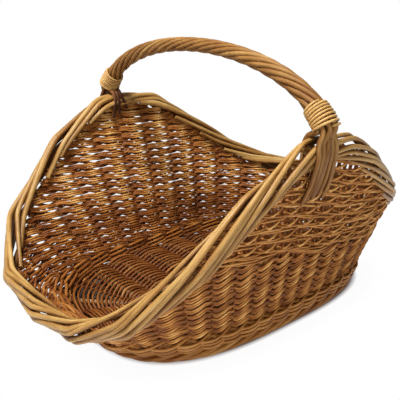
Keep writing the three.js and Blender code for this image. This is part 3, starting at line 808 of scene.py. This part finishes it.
# Roping
# Eight slim rods are wound round the bow together, thin at the crown and thicker towards the feet.
# At each foot most of them pass outside the rim onto the siding, and the others end inside it.
roping_count = 8
roping_turns = 2.7
lashing_level = side_height + 17
bundle_radius = 6.3
bundle_growth = 1.4
foot_spread_out = 1.8
foot_spread_aside = 2.6
roping_radius = 2.85
roping_growth = 0.25
outer_tails_half_width = 13.5
outer_tails_end_half_width = 21
outer_tails_lean = 10
inner_tails_half_width = 5
inner_tails_end_half_width = 14
outside_from = -0.45
tail_points = 34
joint_points = 3
tail_tip_radius = 2.1
tail_swell = 1.0
painted_tail_shade = 0.12
right_reach = np.linspace(bow_length / 2, bow_length, 400)
roping_end = float(np.interp(-lashing_level, -bow_axes(right_reach)[0][:, 2], right_reach))
roping_start = bow_length - roping_end
roping_length = roping_end - roping_start


def far_from_crown(reach):
    """Nothing at the crown of the bow and one where the roping ends."""
    return np.abs(reach - bow_length / 2) / (roping_length / 2)


def bundle_size(reach):
    """Half the bundle's width out of the basket and along it."""
    far = far_from_crown(reach)
    size = bundle_radius + bundle_growth * ease(far)
    spread = ease((far - 0.8) / 0.2)
    return size + foot_spread_out * spread, size + foot_spread_aside * spread


def roping_rod_radius(reach):
    return roping_radius + roping_growth * ease(far_from_crown(reach))


def wound_round(reach, turn, grow=0):
    """Points wound round the bundle, and the directions in which they face away from the bow."""
    centre, along, out = bow_axes(reach)
    size_out, size_aside = bundle_size(reach)
    points = centre + out * ((size_out + grow) * np.cos(turn))[:, None]
    points[:, 1] += (size_aside + grow) * np.sin(turn)
    facing = out * np.cos(turn)[:, None]
    facing[:, 1] += np.sin(turn)
    return points, facing


def tail(side, outer, aside, end_aside, depth):
    """The run of a rod from the lashing over the rim and down the wall."""
    travel = np.array([0, 0.1, 0.35, 0.65, 1.0])
    ys = handle_y + aside + (end_aside - aside) * travel
    shares = np.interp(ys, on_oval(rim_shape, right_shares)[:, 1], right_shares)
    foot, rim, up, out = wall_lines(shares)
    away = np.array([12.5, 15, 14, 10.5, 3] if outer else [-10, -12.5, -11, -8.5, -6.5])
    drop = np.array([-7, 2, 0.35 * depth, 0.65 * depth, depth])
    places = rim + out * away[:, None] - up * drop[:, None]
    places[:, 0] *= side
    return places


def tailed(points, tail_places):
    """Joins a roping rod's last points to its tail with one smooth curve."""
    joined = np.concatenate((points[-joint_points:], tail_places))
    knots = np.concatenate(([0.0], np.cumsum(np.linalg.norm(np.diff(joined, axis=0), axis=1))))
    tail_line = flow(knots, joined, np.linspace(0, knots[-1], tail_points))
    return np.concatenate((points[:-joint_points], tail_line))


def around_bow(i, reach):
    return 2 * math.pi * ((i + 0.5) / roping_count + roping_turns * (reach - bow_length / 2) / roping_length)


def tail_place(i, at):
    """Whether a rod's tail lies outside the rim, and its place from -1 to 1 among the tails there."""
    turns = [around_bow(k, at) for k in range(roping_count)]
    outside = [math.cos(turn) > outside_from for turn in turns]
    fellows = sorted(math.sin(turns[k]) for k in range(roping_count) if outside[k] == outside[i])
    return outside[i], 2 * fellows.index(math.sin(turns[i])) / max(len(fellows) - 1, 1) - 1


def whole_rod(left_tail, roped, right_tail):
    """Values along a rod: those of its left tail, of its roped length and of its right tail."""
    return np.concatenate((left_tail, roped[joint_points:-joint_points], right_tail))


narrowing = np.linspace(1, 0, tail_points) ** 0.4
tail_radii = tail_tip_radius + tail_swell * narrowing
# Painted shade: the tails are made darker towards their tips.
tail_shade_along = painted_tail_shade * (1 - narrowing)
chance = np.random.default_rng(19)
for i in range(roping_count):
    reach = np.linspace(roping_start, roping_end, 150)
    points, facing = wound_round(reach, around_bow(i, reach))
    ends = []
    for at, side in ((roping_end, 1), (roping_start, -1)):
        outer, place = tail_place(i, at)
        aside = place * (outer_tails_half_width if outer else inner_tails_half_width)
        end_aside = place * (outer_tails_end_half_width if outer else inner_tails_end_half_width)
        end_aside += (outer_tails_lean if outer else 0) + chance.uniform(-1.5, 1.5)
        depth = chance.uniform(70, 76) if outer else chance.uniform(14, 28)
        ends.append(tail(side, outer, aside, end_aside, depth))
    points = tailed(points, ends[0])
    points = tailed(points[::-1], ends[1])[::-1]
    # Painted light: each roping rod is lighter where it faces away from the bow, and its tails on their outer
    # and upper side.
    left_facing, right_facing = (np.tile((side, 0, 0.4), (tail_points, 1)) for side in (-1.5, 1.5))
    radii = whole_rod(tail_radii[::-1], roping_rod_radius(reach), tail_radii)
    painted_shade_along_rod = whole_rod(tail_shade_along[::-1], np.zeros(len(reach)), tail_shade_along)
    tone = np.clip(chance.normal(0.24, 0.17), 0.02, 0.6) - painted_shade_along_rod
    rod = (points, radii, tone, 0.4 * whole_rod(left_facing, facing, right_facing))
    name = f"roping_rod_{i + 1}"
    rods_piece(name, [rod], 9, (0.0, 1.0, 0.03), handle_finish, [f"handle_{name}"])

# Lashings
# A thin pale split rod is wound tightly round the spread rods just above each foot, and its end is
# tucked back under the turns.
lashing_turns = 8
lashing_pitch = 3.4
lashing_radius = 1.45
roping_surface = 2.9
end_tuck = 3.5
lashing_colours = [(0.22, 0.09, 0.02), (0.42, 0.22, 0.06), (0.60, 0.36, 0.12), (0.74, 0.50, 0.21)]
lashing_finish = willow("split_willow", lashing_colours, 0.42)
chance = np.random.default_rng(20)
for side, side_name in ((1, "right"), (-1, "left")):
    turn = np.linspace(-0.3, 2 * math.pi * lashing_turns, lashing_turns * 26)
    reach = roping_end - lashing_pitch * turn / (2 * math.pi)
    ends = fade(turn - turn[0], 0.5) + fade(turn - turn[-1], 0.5)
    grow = roping_surface + lashing_radius + 0.25 * np.sin(turn * 0.37) - end_tuck * ends
    points, facing = wound_round(reach, turn, grow)
    mirror = np.array((side, 1, 1))
    # Painted light: the lashing is lighter where it faces away from the bow and darker towards it.
    rod = (points * mirror, lashing_radius, 0.34, 0.3 * facing * mirror)
    foot_along = bow_axes(reach)[1][0] * mirror
    name = f"lashing_{side_name}"
    rods_piece(name, [rod], 8, foot_along, lashing_finish, [f"handle_{name}"])

# Setting
# A pale floor that the basket stands on, painted dark under the basket as shade, soft light from above
# and both sides, and the photograph's viewpoint.
bpy.ops.object.select_all(action="DESELECT")
bpy.ops.mesh.primitive_plane_add(size=8)
ground = bpy.context.object
ground.name = "ground"
ground_material = bpy.data.materials.new("pale_ground")
ground_material.use_nodes = True
tree = ground_material.node_tree
wire = Wire(tree)
surface = tree.nodes["Principled BSDF"]
surface.inputs["Roughness"].default_value = 0.9
glow = wire.node("ShaderNodeEmission", None, {"Color": (1, 1, 1, 1), "Strength": 1.0})
seen = wire.node("ShaderNodeLightPath", output=0) + wire.node("ShaderNodeLightPath", output=3)
place = wire.node("ShaderNodeTexCoord", output=3)
place = wire.node("ShaderNodeVectorMath", {"operation": "ABSOLUTE"}, {0: place})
across = wire.node("ShaderNodeSeparateXYZ", None, {0: place}, output=0) * (1000 / foot_half_width)
endways = wire.node("ShaderNodeSeparateXYZ", None, {0: place}, output=1) * (1000 / foot_half_length)
apart = (across**foot_power + endways**foot_power) * 0.5
stops = [(0.0, (0, 0, 0)), (0.46, (0, 0, 0)), (0.53, (0.96, 0.96, 0.96)), (0.9, (1, 1, 1))]
clear = wire.node("ShaderNodeValToRGB", {"stops": stops}, {"Fac": apart})
# Painted shade: under the basket the floor's colour is made dark grey; outside it the floor is pale.
stops = [(0.0, (0.12, 0.1, 0.08)), (0.43, (0.12, 0.1, 0.08)), (0.48, (0.9, 0.9, 0.9))]
painted_shading = wire.node("ShaderNodeValToRGB", {"stops": stops}, {"Fac": apart})
tree.links.new(painted_shading.socket, surface.inputs["Base Color"])
white = wire.node("ShaderNodeMixShader", None, {0: seen * clear, 1: Wire(tree, surface.outputs[0]), 2: glow})
tree.links.new(white.socket, tree.nodes["Material Output"].inputs["Surface"])
ground.data.materials.append(ground_material)

world = bpy.data.worlds.new("studio")
bpy.context.scene.world = world
world.use_nodes = True
tree = world.node_tree
wire = Wire(tree)
room = wire.node("ShaderNodeBackground", None, {"Color": (1, 1, 1, 1), "Strength": 0.12})
blank = wire.node("ShaderNodeBackground", None, {"Color": (1, 1, 1, 1), "Strength": 1.0})
seen = wire.node("ShaderNodeLightPath", output=0)
light = wire.node("ShaderNodeMixShader", None, {0: seen, 1: room, 2: blank})
tree.links.new(light.socket, tree.nodes["World Output"].inputs["Surface"])


def soft_lamp(name, place, aim, size, power):
    lamp = bpy.data.lights.new(name, "AREA")
    lamp.size = size
    lamp.energy = power
    holder = bpy.data.objects.new(name, lamp)
    bpy.context.scene.collection.objects.link(holder)
    holder.location = place
    holder.rotation_euler = (Vector(aim) - Vector(place)).to_track_quat("-Z", "Y").to_euler()


soft_lamp("top_lamp", (0.1, -0.7, 1.9), (0, 0, 0.1), 0.5, 52)
soft_lamp("front_lamp", (1.5, -1.3, 0.9), (0, 0, 0.12), 1.0, 12)
soft_lamp("left_lamp", (-1.6, -0.9, 0.9), (0, 0, 0.1), 1.0, 3.5)

azimuth = math.radians(49.42)
elevation = math.radians(19.20)
viewpoint = bpy.data.cameras.new("viewpoint")
viewpoint.lens = 52.47
viewpoint.sensor_width = 36
viewpoint.shift_x = -0.0041
viewpoint.shift_y = 0.0055
camera = bpy.data.objects.new("viewpoint", viewpoint)
bpy.context.scene.collection.objects.link(camera)
camera.location = (0.5832, -0.5300, 0.4024)
sight = Vector(
    (-math.sin(azimuth) * math.cos(elevation), math.cos(azimuth) * math.cos(elevation), -math.sin(elevation))
)
camera.rotation_euler = sight.to_track_quat("-Z", "Y").to_euler()
bpy.context.scene.camera = camera
bpy.context.scene.view_settings.view_transform = "Standard"
